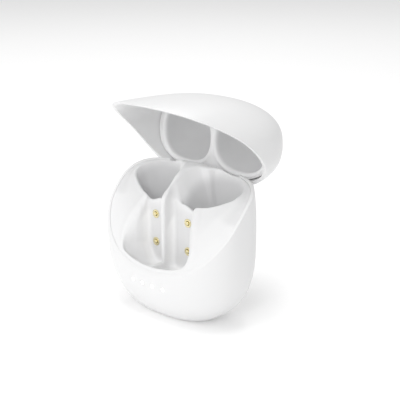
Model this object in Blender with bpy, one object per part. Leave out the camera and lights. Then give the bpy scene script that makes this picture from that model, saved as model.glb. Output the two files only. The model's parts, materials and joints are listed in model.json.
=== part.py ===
"""Charging case for a pair of stem-type wireless earbuds, with its lid open.

Frame: +Z up, +X to the object's right, the front faces -Y. The origin is the middle of the flat foot.
The closed outer form is one smooth pebble. A curved parting surface cuts it into a base and a lid, and the
lid turns about a pin at the back. Lid pieces are modelled closed and hang on an empty that opens them.
"""

import math

import bmesh
import bpy
import numpy as np

MM = 0.001

# Closed outer form: a superellipse in plan whose size follows a superellipse in height.
HALF_WIDTH = 25.0 * MM
DEPTH_FRONT = 11.9 * MM
DEPTH_BACK = 14.6 * MM
PLAN_POWER_FRONT = 2.3
PLAN_POWER_BACK = 2.65
WIDEST_HEIGHT = 24.5 * MM
RISE_BELOW = 25.8 * MM
RISE_ABOVE = 32.0 * MM
SIDE_POWER_BELOW = 2.8
SIDE_POWER_ABOVE = 2.95
WIDENING_TO_BACK = 4.0  # share of the width gained per metre towards the back

# Parting surface: height as a quadratic in y.
PART_HEIGHT = 32.1 * MM
PART_SLOPE = 1.16
PART_BEND = 41.0  # per metre

WALL = 0.9 * MM
FIT_GAP = 0.2 * MM
LID_GAP = 0.25 * MM
HINGE_RELIEF = 0.8 * MM
FLOOR = 1.0 * MM
FORM_STEPS = 56

# Hinge.
HINGE_Y = 11.4 * MM
HINGE_Z = 38.1 * MM
OPEN_ANGLE = 91.5
PIN_RADIUS = 0.75 * MM
PIN_LENGTH = 10.0 * MM
BARREL_RADIUS = 2.2 * MM
BARREL_HALF = 3.4 * MM
EAR_RADIUS = 2.0 * MM
EAR_INNER = 3.6 * MM
EAR_OUTER = 4.7 * MM
RUNNING_GAP = 0.05 * MM
NOTCH_HALF = 13.3 * MM
NOTCH_BOTTOM = 35.1 * MM

# Cradle: the moulded deck with a well for each earbud and a pocket for each stem.
DECK_EDGE_DROP = 0.5 * MM
MOUND_RISE = 0.8 * MM
CREST_HEIGHT = 42.1 * MM
CREST_Y = 8.0 * MM
CREST_BEND = 50.0  # per metre
CREST_SPREAD = 9.3 * MM
LAND_BACK = 10.7 * MM
SKIN = 0.9 * MM
POCKET_FLOOR = 12.6 * MM
POCKET_LIP = 0.45 * MM
CONTACT_WALL_Y = -1.0 * MM
CONTACT_WALL = 1.0 * MM
DIVIDER_HALF = 0.8 * MM
DIVIDER_FRONT = -4.9 * MM
RIDGE_HEIGHT = 15.6 * MM
WELL_BOTTOM = 25.5 * MM
WELL_ANCHOR = (10.8 * MM, 7.0 * MM)
WELL_TAPER = 0.8
WELL_SKIN = 0.7 * MM

# Charging contacts.
CONTACT_X = 6.4 * MM
CONTACT_HEIGHTS = {"upper": 27.6 * MM, "lower": 19.25 * MM}
BARREL_R = 0.85 * MM
BARREL_FLANGE_R = 1.1 * MM
BORE_R = 0.62 * MM
PLUNGER_R = 0.56 * MM

# Indicator lights.
LIGHT_PITCH = 4.0 * MM
LIGHT_HEIGHT = 10.4 * MM
WINDOW_RADIUS = 0.6 * MM

# Lid liner.
CEILING = 42.3 * MM
LINER_WALL = 0.9 * MM
DOME_X = 10.4 * MM
DOME_Y = 1.6 * MM
DOME_HALF = (9.2 * MM, 7.9 * MM, 11.0 * MM)

SIDES = {"left": -1, "right": 1}

SPINE_HALF = 1.1 * MM
CHEEK_START = 5.2 * MM
CHEEK_RADII = (2.1 * MM, 1.45 * MM)


def clear_scene():
    for obj in list(bpy.data.objects):
        bpy.data.objects.remove(obj, do_unlink=True)


def material(name, color, roughness, metallic=0.0):
    made = bpy.data.materials.get(name)
    if made is None:
        made = bpy.data.materials.new(name)
        made.use_nodes = True
        shader = made.node_tree.nodes["Principled BSDF"]
        shader.inputs["Base Color"].default_value = (*color, 1.0)
        shader.inputs["Roughness"].default_value = roughness
        shader.inputs["Metallic"].default_value = metallic
    return made


def white_plastic():
    return material("white_plastic", (0.86, 0.86, 0.87), 0.3)


def gold():
    return material("gold", (0.83, 0.6, 0.2), 0.25, 1.0)


def steel():
    return material("steel", (0.6, 0.6, 0.62), 0.35, 1.0)


def board_green():
    return material("board_green", (0.04, 0.2, 0.1), 0.5)


def black_resin():
    return material("black_resin", (0.03, 0.03, 0.035), 0.45)


def magnet_nickel():
    return material("magnet_nickel", (0.7, 0.7, 0.7), 0.25, 1.0)


def add_object(name, mesh, look=None, parent=None):
    """A node of the object when it has a look, and a hidden cutter when it has none."""
    obj = bpy.data.objects.new(name, mesh)
    bpy.context.scene.collection.objects.link(obj)
    obj.parent = parent
    if look is None:
        obj.hide_render = True
        obj.display_type = "WIRE"
    else:
        mesh.materials.append(look)
        mesh.shade_smooth()
        mesh.set_sharp_from_angle(angle=math.radians(35))
    return obj


def mesh_from(points, faces):
    mesh = bpy.data.meshes.new("shape")
    mesh.from_pydata([tuple(point) for point in points], [], faces)
    shape = bmesh.new()
    shape.from_mesh(mesh)
    bmesh.ops.triangulate(shape, faces=shape.faces)
    bmesh.ops.recalc_face_normals(shape, faces=shape.faces)
    shape.to_mesh(mesh)
    shape.free()
    return mesh


def loft(rings, fan_first=False, fan_last=False):
    """Closed mesh through rings of equally many points. An end is a flat face, or a fan to its centre."""
    count = len(rings[0])
    points = [tuple(point) for ring in rings for point in ring]
    faces = []
    for level in range(len(rings) - 1):
        start = level * count
        for k in range(count):
            after = (k + 1) % count
            faces.append((start + k, start + after, start + count + after, start + count + k))
    for fan, start in ((fan_first, 0), (fan_last, (len(rings) - 1) * count)):
        ring = list(range(start, start + count))
        if fan:
            centre = len(points)
            points.append(tuple(np.mean([points[k] for k in ring], axis=0)))
            faces.extend((ring[k], ring[(k + 1) % count], centre) for k in range(count))
        else:
            faces.append(tuple(ring))
    return mesh_from(points, faces)


def block(low, high):
    """Box between two corners."""
    (x0, y0, z0), (x1, y1, z1) = low, high
    corners = [(x0, y0), (x1, y0), (x1, y1), (x0, y1)]
    return loft([[(x, y, z) for x, y in corners] for z in (z0, z1)])


def prism(outline, bottom, top):
    return loft([[(x, y, z) for x, y in outline] for z in (bottom, top)])


def turned(profile, centre, axis, steps=24):
    """Solid turned about an axis ("x", "y" or "z") through centre. The profile is a list of (radius, along),
    and it starts and ends on the axis."""
    order = {"x": (2, 0, 1), "y": (1, 2, 0), "z": (0, 1, 2)}[axis]
    rings = []
    for radius, along in profile[1:-1]:
        turns = [2 * math.pi * k / steps for k in range(steps)]
        local = [(radius * math.cos(turn), radius * math.sin(turn), along) for turn in turns]
        rings.append([tuple(centre[i] + point[order[i]] for i in range(3)) for point in local])
    return loft(rings)


def rod(radius, start, end, centre, axis, steps=24):
    return turned([(0, start), (radius, start), (radius, end), (0, end)], centre, axis, steps)


def cut(obj, mesh, name, parent=None):
    cutter = add_object(name, mesh, parent=parent)
    apply_boolean(obj, cutter, "DIFFERENCE")


def apply_boolean(obj, other, operation):
    modifier = obj.modifiers.new(other.name, "BOOLEAN")
    modifier.operation = operation
    modifier.solver = "EXACT"
    modifier.object = other


def signed_power(value, power):
    return np.sign(value) * np.abs(value) ** power


def form_scale(height, inset):
    """Size of the plan section at a height, as a share of the widest one."""
    below = height < WIDEST_HEIGHT
    rise = np.where(below, RISE_BELOW, RISE_ABOVE) - inset
    power = np.where(below, SIDE_POWER_BELOW, SIDE_POWER_ABOVE)
    share = np.clip(np.abs(height - WIDEST_HEIGHT) / rise, 0, 1)
    return (1 - share**power) ** (1 / power)


def form_point(angle, height, inset=0.0):
    """Points of the closed form, moved inward by inset, at plan angles and heights."""
    height = np.broadcast_to(height, angle.shape)
    back = np.sin(angle) > 0
    power = np.where(back, PLAN_POWER_BACK, PLAN_POWER_FRONT)
    depth = np.where(back, DEPTH_BACK, DEPTH_FRONT) - inset
    scale = form_scale(height, inset)
    x = (HALF_WIDTH - inset) * scale * signed_power(np.cos(angle), 2 / power)
    y = depth * scale * signed_power(np.sin(angle), 2 / power)
    return np.stack([x * (1 + WIDENING_TO_BACK * y), y, height], axis=-1)


def form_front(x, height, inset):
    """The y of the form's front at x."""
    width = (HALF_WIDTH - inset) * form_scale(height, inset)
    depth = (DEPTH_FRONT - inset) * form_scale(height, inset)
    return -depth * (1 - abs(x / width) ** PLAN_POWER_FRONT) ** (1 / PLAN_POWER_FRONT)


def part_height(y):
    return PART_HEIGHT + PART_SLOPE * y - PART_BEND * y**2


def part_slope(y):
    return PART_SLOPE - 2 * PART_BEND * y


def angles():
    return 2 * math.pi * np.arange(FORM_STEPS) / FORM_STEPS


def ring_on(surface, inset):
    """Where the form, moved inward by inset, meets a surface given as a height of (x, y)."""
    angle = angles()
    low = np.zeros(FORM_STEPS)
    high = np.full(FORM_STEPS, WIDEST_HEIGHT + RISE_ABOVE - inset)
    for _ in range(40):
        middle = (low + high) / 2
        point = form_point(angle, middle, inset)
        under = middle < surface(point[:, 0], point[:, 1])
        low = np.where(under, middle, low)
        high = np.where(under, high, middle)
    return form_point(angle, low, inset)


def form_rings(start, end, inset, shares):
    """Rings on the form between two sets of heights, one ring for each share of the way."""
    return [form_point(angles(), start + (end - start) * share, inset) for share in shares]


def plain_part(x, y):
    return part_height(y)


def lid_part(x, y):
    """The lid's rim. It stands higher behind the pin, where opening moves it down."""
    return part_height(y) + LID_GAP + HINGE_RELIEF * smooth_step(11.2 * MM, 12.4 * MM, y)


# Base casing.


def make_base_shell():
    rim_outer = ring_on(plain_part, 0.0)
    rim_inner = ring_on(plain_part, WALL)
    shares = [0.0, 0.05, 0.12, 0.22, 0.36, 0.52, 0.7, 0.86, 1.0]
    outer = form_rings(np.zeros(FORM_STEPS), rim_outer[:, 2], 0.0, shares)
    inner = form_rings(np.full(FORM_STEPS, FLOOR), rim_inner[:, 2], WALL, shares)
    shell = add_object("base_shell", loft(outer + inner[::-1]), white_plastic())
    add_screw_posts(shell)
    cut_hinge_notch(shell, 9 * MM)
    cut(shell, usb_opening(), "usb_cut")
    for number, x in enumerate(light_places(), 1):
        hole = rod(WINDOW_RADIUS + 0.12 * MM, -15 * MM, -8 * MM, (x, 0, LIGHT_HEIGHT), "y", 16)
        cut(shell, hole, f"light_cut_{number}")
    return shell


def add_screw_posts(shell):
    """Two posts on the back wall take the hinge bracket's screws."""
    for side, sign in SIDES.items():
        centre = (sign * BRACKET_SCREW_X, BRACKET_SCREW_Y, 0)
        post = add_object(f"post_{side}_shape", rod(1.9 * MM, 23 * MM, BRACKET_Z - 0.3 * MM, centre, "z"))
        apply_boolean(shell, post, "UNION")
        bore = rod(SCREW_RADIUS + 0.1 * MM, 25 * MM, BRACKET_Z + 1 * MM, centre, "z", 16)
        cut(shell, bore, f"post_{side}_bore")


def cut_hinge_notch(obj, front):
    """Opening in the back wall that the lid's rear edge swings down into."""
    low = (-NOTCH_HALF, front, NOTCH_BOTTOM)
    high = (NOTCH_HALF, 20 * MM, 45 * MM)
    cut(obj, block(low, high), obj.name + "_notch")


# Cradle.


def crest_height(y):
    """Top of the raised spine between the wells."""
    return CREST_HEIGHT - CREST_BEND * (CREST_Y - y) ** 2


def smooth_step(low, high, value):
    share = np.clip((value - low) / (high - low), 0, 1)
    return share * share * (3 - 2 * share)


def deck_height(x, y):
    """Raised part of the deck: a low mound all round, which rises to the spine at the middle."""
    part = part_height(y)
    spread = np.exp(-((x / CREST_SPREAD) ** 2)) * smooth_step(-8.5 * MM, -4.0 * MM, y)
    return part + MOUND_RISE + (crest_height(y) - part - MOUND_RISE) * spread


def deck_edge(x, y):
    return part_height(y) - DECK_EDGE_DROP


def mound_share(angle):
    """Where the mound's crest lies, as a share of the way out to the deck's edge. Beside each stem pocket
    the crest steps inward."""
    turn = np.degrees(np.arctan2(np.sin(angle), np.abs(np.cos(angle))))
    return 0.9 - 0.16 * np.exp(-(((turn + 21) / 24) ** 4))


def skin_drop(y):
    """Height of the skin that is SKIN thick square to the slope."""
    return SKIN * np.sqrt(1 + part_slope(y) ** 2)


def deck_rings(drop):
    """Rings from the deck's edge to near its middle, drop times the skin's height below the deck."""
    edge = ring_on(deck_edge, WALL + FIT_GAP)
    share = mound_share(angles())
    rings = []
    for outward in (1 + 0.12 * drop, share + 0.35 * (1 - share)):
        ring = scaled_ring(edge, outward)
        ring[:, 2] = deck_edge(ring[:, 0], ring[:, 1]) - drop * skin_drop(ring[:, 1])
        rings.append(ring)
    for inward in (1.0, 0.86, 0.7, 0.54, 0.38, 0.24, 0.11):
        ring = scaled_ring(edge, share * inward)
        ring[:, 2] = deck_height(ring[:, 0], ring[:, 1]) - drop * skin_drop(ring[:, 1])
        rings.append(ring)
    return rings


def scaled_ring(ring, share):
    """Copy of a ring, scaled in plan."""
    scaled = ring.copy()
    scaled[:, :2] *= np.broadcast_to(share, len(ring))[:, None]
    return scaled


def deck_solid():
    """Solid that fills the casing from the pockets' floor up to the deck."""
    top = deck_rings(0.0)
    bottom = np.full(FORM_STEPS, POCKET_FLOOR - SKIN)
    wall = form_rings(bottom, top[0][:, 2], WALL + FIT_GAP, [0.0, 0.3, 0.6])
    return loft(wall + top, fan_last=True)


def deck_hollow():
    """All that lies under the deck's skin."""
    top = deck_rings(1.0)
    low = top[0].copy()
    low[:, 2] = 5 * MM
    return loft([low] + top, fan_last=True)


def well_outline(grow=0.0):
    """Plan of the right well through a few hand-set points, as one smooth closed curve."""
    corners = [
        (0.7, -2.2),
        (0.7, 1.6),
        (1.3, 4.4),
        (3.0, 7.1),
        (5.3, 8.3),
        (6.8, 9.9),
        (10.2, 11.0),
        (14.8, 11.1),
        (18.6, 9.1),
        (20.5, 6.2),
        (19.6, 3.5),
        (16.8, 1.7),
        (12.3, -0.4),
        (8.0, -1.9),
        (4.0, -2.3),
    ]
    middle = np.array(WELL_ANCHOR)
    points = smooth_loop(np.array(corners) * MM, 3)
    away = points - middle
    return middle + away * (1 + grow / np.linalg.norm(away, axis=1, keepdims=True))


def smooth_loop(corners, steps):
    """Closed Catmull-Rom curve through corners."""
    points = []
    count = len(corners)
    for k in range(count):
        before, start, end, after = (corners[(k + shift) % count] for shift in (-1, 0, 1, 2))
        for step in range(steps):
            t = step / steps
            bend = 2 * before - 5 * start + 4 * end - after
            twist = 3 * start - 3 * end + after - before
            points.append(0.5 * (2 * start + (end - before) * t + bend * t**2 + twist * t**3))
    return np.array(points)


def well_solid(sign, grow=0.0):
    """The space of one well, or of its outer skin when grown: straight above the rim, a bowl below it."""
    outline = well_outline(grow)
    rim = deck_height(outline[:, 0], outline[:, 1])
    bottom = WELL_BOTTOM - grow
    middle = np.array(WELL_ANCHOR)
    rings = [np.column_stack([outline, np.full(len(outline), CREST_HEIGHT + 6 * MM)])]
    for share in (0.0, 0.12, 0.28, 0.46, 0.66, 0.86, 1.0):
        narrow = 1 - WELL_TAPER * share**1.1
        plan = middle + (outline - middle) * narrow
        rings.append(np.column_stack([plan, rim + (bottom - rim) * share]))
    for ring in rings:
        ring[:, 0] *= sign
    return loft(rings)


def pocket_solid(sign):
    """The space of one stem pocket. Its front follows the casing's wall."""
    back = [(0.8, -1.0), (9.4, -1.0), (9.7, -3.6), (10.6, -5.1), (12.7, -6.9), (12.6, -8.0)]
    rings = []
    for height in (12.6, 13.6, 15.0, 17.0, 20.0, 24.5, 48.0):
        level = min(height, 24.5) * MM
        plan = [(x * MM, y * MM) for x, y in back]
        for x in (11.2, 9.0, 6.4, 3.8, 0.8):
            plan.append((x * MM, form_front(x * MM, level, WALL + FIT_GAP + POCKET_LIP)))
        rings.append([(sign * x, y, height * MM) for x, y in plan])
    return loft(rings)


def channel_body():
    """Outer body of both stem pockets, before they are cut."""
    half = [(10.8, 0.04), (11.6, -3.0), (13.8, -6.4), (13.8, -14.0)]
    outline = [(x * MM, y * MM) for x, y in half] + [(-x * MM, y * MM) for x, y in reversed(half)]
    return prism(outline, POCKET_FLOOR - SKIN - 1 * MM, 50 * MM)


def make_cradle():
    cradle = add_object("cradle", deck_solid(), white_plastic())
    hollow = add_object("cradle_hollow", deck_hollow())
    for side, sign in SIDES.items():
        cut(hollow, well_solid(sign, WELL_SKIN), f"well_body_{side}")
    spine = block((-SPINE_HALF, -3 * MM, 24 * MM), (SPINE_HALF, 9.7 * MM, 50 * MM))
    cut(hollow, spine, "spine_body")
    cut(hollow, channel_body(), "channel_body")
    apply_boolean(cradle, hollow, "DIFFERENCE")
    shape_hinge_side(cradle)
    for side, sign in SIDES.items():
        cut(cradle, well_solid(sign), f"well_{side}")
        cut(cradle, pocket_solid(sign), f"pocket_{side}")
    front_low = (-DIVIDER_HALF - 0.3 * MM, -10.1 * MM, RIDGE_HEIGHT)
    front_high = (DIVIDER_HALF + 0.3 * MM, DIVIDER_FRONT, 60 * MM)
    cut(cradle, block(front_low, front_high), "divider_front")
    seat_low = (-SPINE_HALF - 0.1 * MM, 5.2 * MM, 30 * MM)
    cut(cradle, block(seat_low, (SPINE_HALF + 0.1 * MM, 8.3 * MM, 40.75 * MM)), "catch_magnet_seat")
    for name, x, height in contact_places():
        hole = rod(BARREL_R + 0.1 * MM, -3 * MM, 3 * MM, (x, CONTACT_WALL_Y, height), "y", 16)
        cut(cradle, hole, f"contact_cut_{name}")
    return cradle


def shape_hinge_side(cradle):
    """Room for the lid's barrel, and a rounded cheek on each side that fills the opening in the back wall."""
    cut_hinge_notch(cradle, 12.0 * MM)
    land_low = (-CHEEK_START, LAND_BACK, 30 * MM)
    cut(cradle, block(land_low, (CHEEK_START, 20 * MM, 60 * MM)), "hinge_opening")
    pin_middle = (0, HINGE_Y, HINGE_Z)
    clearance = rod(BARREL_RADIUS + 0.3 * MM, -CHEEK_START, CHEEK_START, pin_middle, "x", 32)
    cut(cradle, clearance, "hinge_clearance")
    for side, sign in SIDES.items():
        start, end = sign * CHEEK_START, sign * (NOTCH_HALF - 0.2 * MM)
        profile = [(0, start), (CHEEK_RADII[0], start), (CHEEK_RADII[1], end), (0, end)]
        cheek = add_object(f"cheek_{side}", turned(profile, pin_middle, "x", 32))
        apply_boolean(cradle, cheek, "UNION")
        low_x, high_x = sorted((start, end))
        backing = block((low_x, 11.4 * MM, 35.2 * MM), (high_x, 12.0 * MM, HINGE_Z))
        apply_boolean(cradle, add_object(f"cheek_backing_{side}", backing), "UNION")


# Charging contacts: a sprung plunger in a barrel, on a small board behind the pocket's wall.


def contact_places():
    return [
        (f"{side}_{level}", sign * CONTACT_X, height)
        for side, sign in SIDES.items()
        for level, height in CONTACT_HEIGHTS.items()
    ]


def make_contacts():
    for name, x, height in contact_places():
        face = (x, CONTACT_WALL_Y, height)
        make_barrel(name, face)
        make_plunger(name, face)
        make_pin_spring(name, face)
    for side, sign in SIDES.items():
        low = (sign * CONTACT_X - 2.8 * MM, 0.35 * MM, 17.2 * MM)
        high = (sign * CONTACT_X + 2.8 * MM, 0.95 * MM, 29.0 * MM)
        add_object(f"contact_board_{side}", block(low, high), board_green())
    sensor = block((5.6 * MM, 1.0 * MM, 26.8 * MM), (7.2 * MM, 1.7 * MM, 28.4 * MM))
    add_object("lid_sensor", sensor, black_resin())


def make_barrel(name, face):
    """Flanged cup, open to the front."""
    profile = [
        (0, 1.25),
        (0.85, 1.25),
        (0.85, -0.04),
        (1.1, -0.04),
        (1.1, -0.12),
        (1.0, -0.2),
        (0.62, -0.2),
        (0.62, 1.05),
        (0, 1.05),
    ]
    shape = turned([(r * MM, y * MM) for r, y in profile], face, "y")
    add_object(f"pin_barrel_{name}", shape, gold())


def make_plunger(name, face):
    """Round-nosed plunger with its origin on its own axis."""
    profile = [(0, 0.3), (0.56, 0.3), (0.56, -0.42), (0.5, -0.55), (0.36, -0.64), (0.16, -0.69), (0, -0.69)]
    shape = turned([(r * MM, y * MM) for r, y in profile], (0, 0, 0), "y")
    plunger = add_object(f"pin_plunger_{name}", shape, gold())
    plunger.location = face


def make_pin_spring(name, face):
    """Coil between the plunger and the bottom of the barrel."""
    turns, steps, wire, radius = 3, 8, 0.07 * MM, 0.42 * MM
    start, end = 0.42 * MM, 0.93 * MM
    curve = bpy.data.curves.new(f"pin_spring_{name}", "CURVE")
    curve.dimensions = "3D"
    curve.bevel_depth = wire
    curve.bevel_resolution = 0
    curve.use_fill_caps = True
    spline = curve.splines.new("POLY")
    spline.points.add(turns * steps)
    for k, point in enumerate(spline.points):
        turn = 2 * math.pi * k / steps
        along = start + (end - start) * k / (turns * steps)
        place = (radius * math.cos(turn), along, radius * math.sin(turn))
        point.co = (*(face[i] + place[i] for i in range(3)), 1)
    curve.materials.append(steel())
    bpy.context.scene.collection.objects.link(bpy.data.objects.new(f"pin_spring_{name}", curve))


# Electronics and magnets inside the base.


def light_places():
    return [(k - 1.5) * LIGHT_PITCH for k in range(4)]


def make_lights():
    add_object("led_board", block((-8 * MM, -8.9 * MM, 8.6 * MM), (8 * MM, -8.3 * MM, 11.2 * MM)), board_green())
    lens = material("lens", (0.95, 0.95, 0.93), 0.2)
    chip = material("led_chip", (0.9, 0.88, 0.6), 0.4)
    for number, x in enumerate(light_places(), 1):
        front = form_front(x, LIGHT_HEIGHT - 0.5 * MM, 0.0)
        window = rod(WINDOW_RADIUS, front + 0.03 * MM, -9.65 * MM, (x, 0, LIGHT_HEIGHT), "y", 16)
        add_object(f"led_window_{number}", window, lens)
        low = (x - 0.5 * MM, -9.45 * MM, LIGHT_HEIGHT - 0.5 * MM)
        add_object(f"led_chip_{number}", block(low, (x + 0.5 * MM, -8.95 * MM, LIGHT_HEIGHT + 0.5 * MM)), chip)


def make_board():
    """Main board upright behind the pockets, and the small one that carries the charging socket."""
    outline = rounded_box_outline(14 * MM, 6 * MM, 2 * MM)
    board = loft([[(x, y, 17.7 * MM + z) for x, z in outline] for y in (2.1 * MM, 2.9 * MM)])
    add_object("main_board", board, board_green())
    chip = block((-9 * MM, 3.0 * MM, 13 * MM), (-5 * MM, 3.9 * MM, 17 * MM))
    add_object("charge_chip", chip, black_resin())
    coil = block((5.4 * MM, 3.0 * MM, 12 * MM), (8.4 * MM, 4.8 * MM, 15 * MM))
    add_object("power_inductor", coil, material("ferrite", (0.12, 0.11, 0.11), 0.6))
    add_object("socket_board", block((-6 * MM, 3.2 * MM, 2.7 * MM), (6 * MM, 7.6 * MM, 3.4 * MM)), board_green())


def make_battery():
    """Pouch cell across the bottom, with chamfered front corners to follow the casing."""
    half = [(16.0, 2.9), (16.0, -2.0), (9.5, -6.6)]
    outline = [(x * MM, y * MM) for x, y in half] + [(-x * MM, y * MM) for x, y in reversed(half)]
    cell = material("battery_foil", (0.72, 0.73, 0.75), 0.35, 0.6)
    add_object("battery", prism(outline, 3.4 * MM, 11.2 * MM), cell)
    pad = block((-9 * MM, -4.5 * MM, 2.3 * MM), (9 * MM, 2.5 * MM, 3.2 * MM))
    add_object("battery_pad", pad, material("foam", (0.12, 0.12, 0.12), 0.9))


def rounded_box_outline(half_x, half_y, radius, steps=4):
    outline = []
    for quarter in range(4):
        corner = (half_x - radius, half_y - radius)
        sign_x = (1, -1, -1, 1)[quarter]
        sign_y = (1, 1, -1, -1)[quarter]
        for k in range(steps + 1):
            turn = math.pi / 2 * (quarter + k / steps)
            place = (sign_x * corner[0] + radius * math.cos(turn), sign_y * corner[1] + radius * math.sin(turn))
            outline.append(place)
    return outline


USB_HEIGHT = 5.15 * MM


def usb_tube(half_x, half_z, radius, start, end):
    outline = rounded_box_outline(half_x, half_z, radius, 4)
    return loft([[(x, y, USB_HEIGHT + z) for x, z in outline] for y in (start, end)])


def usb_opening():
    return usb_tube(4.8 * MM, 1.85 * MM, 1.8 * MM, 8.2 * MM, 16 * MM)


def make_usb_inlet():
    shell = add_object("usb_shell", usb_tube(4.47 * MM, 1.6 * MM, 1.5 * MM, 3.4 * MM, 10.7 * MM), steel())
    cut(shell, usb_tube(4.17 * MM, 1.3 * MM, 1.2 * MM, 4.2 * MM, 12 * MM), "usb_bore")
    tongue = block((-3.3 * MM, 4.5 * MM, USB_HEIGHT - 0.35 * MM), (3.3 * MM, 10.0 * MM, USB_HEIGHT + 0.35 * MM))
    add_object("usb_tongue", tongue, black_resin())


def make_magnets():
    """The catch's magnets face each other through the spine and the liner, and one under each pocket holds
    a bud's stem."""
    catch = block((-1.0 * MM, 5.4 * MM, 37.6 * MM), (1.0 * MM, 8.1 * MM, 40.5 * MM))
    add_object("catch_magnet", catch, magnet_nickel())
    for side, sign in SIDES.items():
        low = (sign * CONTACT_X - 2.4 * MM, 0.3 * MM, 11.9 * MM)
        high = (sign * CONTACT_X + 2.4 * MM, 1.5 * MM, 16.7 * MM)
        add_object(f"bud_magnet_{side}", block(low, high), magnet_nickel())


# Hinge.

BRACKET_Z = 30.2 * MM
BRACKET_THICK = 0.7 * MM
BRACKET_SCREW_X = 9.2 * MM
BRACKET_SCREW_Y = 11.5 * MM
SCREW_RADIUS = 0.6 * MM


def make_bracket():
    """Plate across the back with an ear at each end of the pin."""
    plate = block((-11 * MM, 10.2 * MM, BRACKET_Z), (11 * MM, 12.7 * MM, BRACKET_Z + BRACKET_THICK))
    bracket = add_object("hinge_bracket", plate, steel())
    for side, sign in SIDES.items():
        inner, outer = sorted((sign * EAR_INNER, sign * EAR_OUTER))
        leg_low = (inner, HINGE_Y - 0.9 * MM, BRACKET_Z + 0.3 * MM)
        leg = add_object(f"ear_leg_{side}", block(leg_low, (outer, HINGE_Y + 0.9 * MM, HINGE_Z)))
        ear = add_object(f"ear_{side}", rod(EAR_RADIUS, inner, outer, (0, HINGE_Y, HINGE_Z), "x", 32))
        apply_boolean(bracket, leg, "UNION")
        apply_boolean(bracket, ear, "UNION")
        centre = (sign * BRACKET_SCREW_X, BRACKET_SCREW_Y, 0)
        cut(bracket, rod(SCREW_RADIUS + 0.1 * MM, 29 * MM, 33 * MM, centre, "z", 16), f"bracket_hole_{side}")
        make_bracket_screw(side, centre)
    bore = rod(PIN_RADIUS + RUNNING_GAP, -20 * MM, 20 * MM, (0, HINGE_Y, HINGE_Z), "x", 32)
    cut(bracket, bore, "bracket_bore")


def make_bracket_screw(side, centre):
    top = BRACKET_Z + BRACKET_THICK + 0.05 * MM
    profile = [
        (0, 25.6 * MM),
        (SCREW_RADIUS, 25.6 * MM),
        (SCREW_RADIUS, top),
        (1.05 * MM, top),
        (1.05 * MM, top + 0.5 * MM),
        (0.8 * MM, top + 0.7 * MM),
        (0, top + 0.7 * MM),
    ]
    add_object(f"bracket_screw_{side}", turned(profile, centre, "z", 16), steel())


def make_pin():
    half = PIN_LENGTH / 2
    chamfer = 0.15 * MM
    profile = [
        (0, -half),
        (PIN_RADIUS - chamfer, -half),
        (PIN_RADIUS, chamfer - half),
        (PIN_RADIUS, half - chamfer),
        (PIN_RADIUS - chamfer, half),
        (0, half),
    ]
    pin = add_object("hinge_pin", turned(profile, (0, 0, 0), "x", 32), steel())
    pin.location = (0, HINGE_Y, HINGE_Z)


# Lid. Its meshes are modelled closed, about the pin, and the empty turns them open.


def about_pin(mesh):
    for vertex in mesh.vertices:
        vertex.co.y -= HINGE_Y
        vertex.co.z -= HINGE_Z
    return mesh


def make_lid_pivot():
    pivot = bpy.data.objects.new("lid_pivot", None)
    bpy.context.scene.collection.objects.link(pivot)
    pivot.location = (0, HINGE_Y, HINGE_Z)
    pivot.rotation_euler = (-math.radians(OPEN_ANGLE), 0, 0)
    return pivot


def make_lid_shell(pivot):
    shares = [0.0, 0.14, 0.3, 0.46, 0.62, 0.76, 0.87, 0.94, 0.98]
    rim_outer = ring_on(lid_part, 0.0)
    rim_inner = ring_on(lid_part, WALL)
    top = WIDEST_HEIGHT + RISE_ABOVE
    outer = form_rings(rim_outer[:, 2], np.full(FORM_STEPS, top), 0.0, shares)
    inner = form_rings(rim_inner[:, 2], np.full(FORM_STEPS, top - WALL), WALL, shares)
    outer.append(point_ring(0.1, top - 0.02 * MM))
    inner.append(point_ring(0.1, top - WALL - 0.02 * MM))
    shape = loft(outer[::-1] + inner, fan_first=True, fan_last=True)
    add_object("lid_shell", about_pin(shape), white_plastic(), pivot)


def point_ring(share, height):
    """Small ring round the top of the form."""
    ring = form_point(angles(), np.full(FORM_STEPS, WIDEST_HEIGHT), 0.0) * share
    ring[:, 2] = height
    return ring


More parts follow.
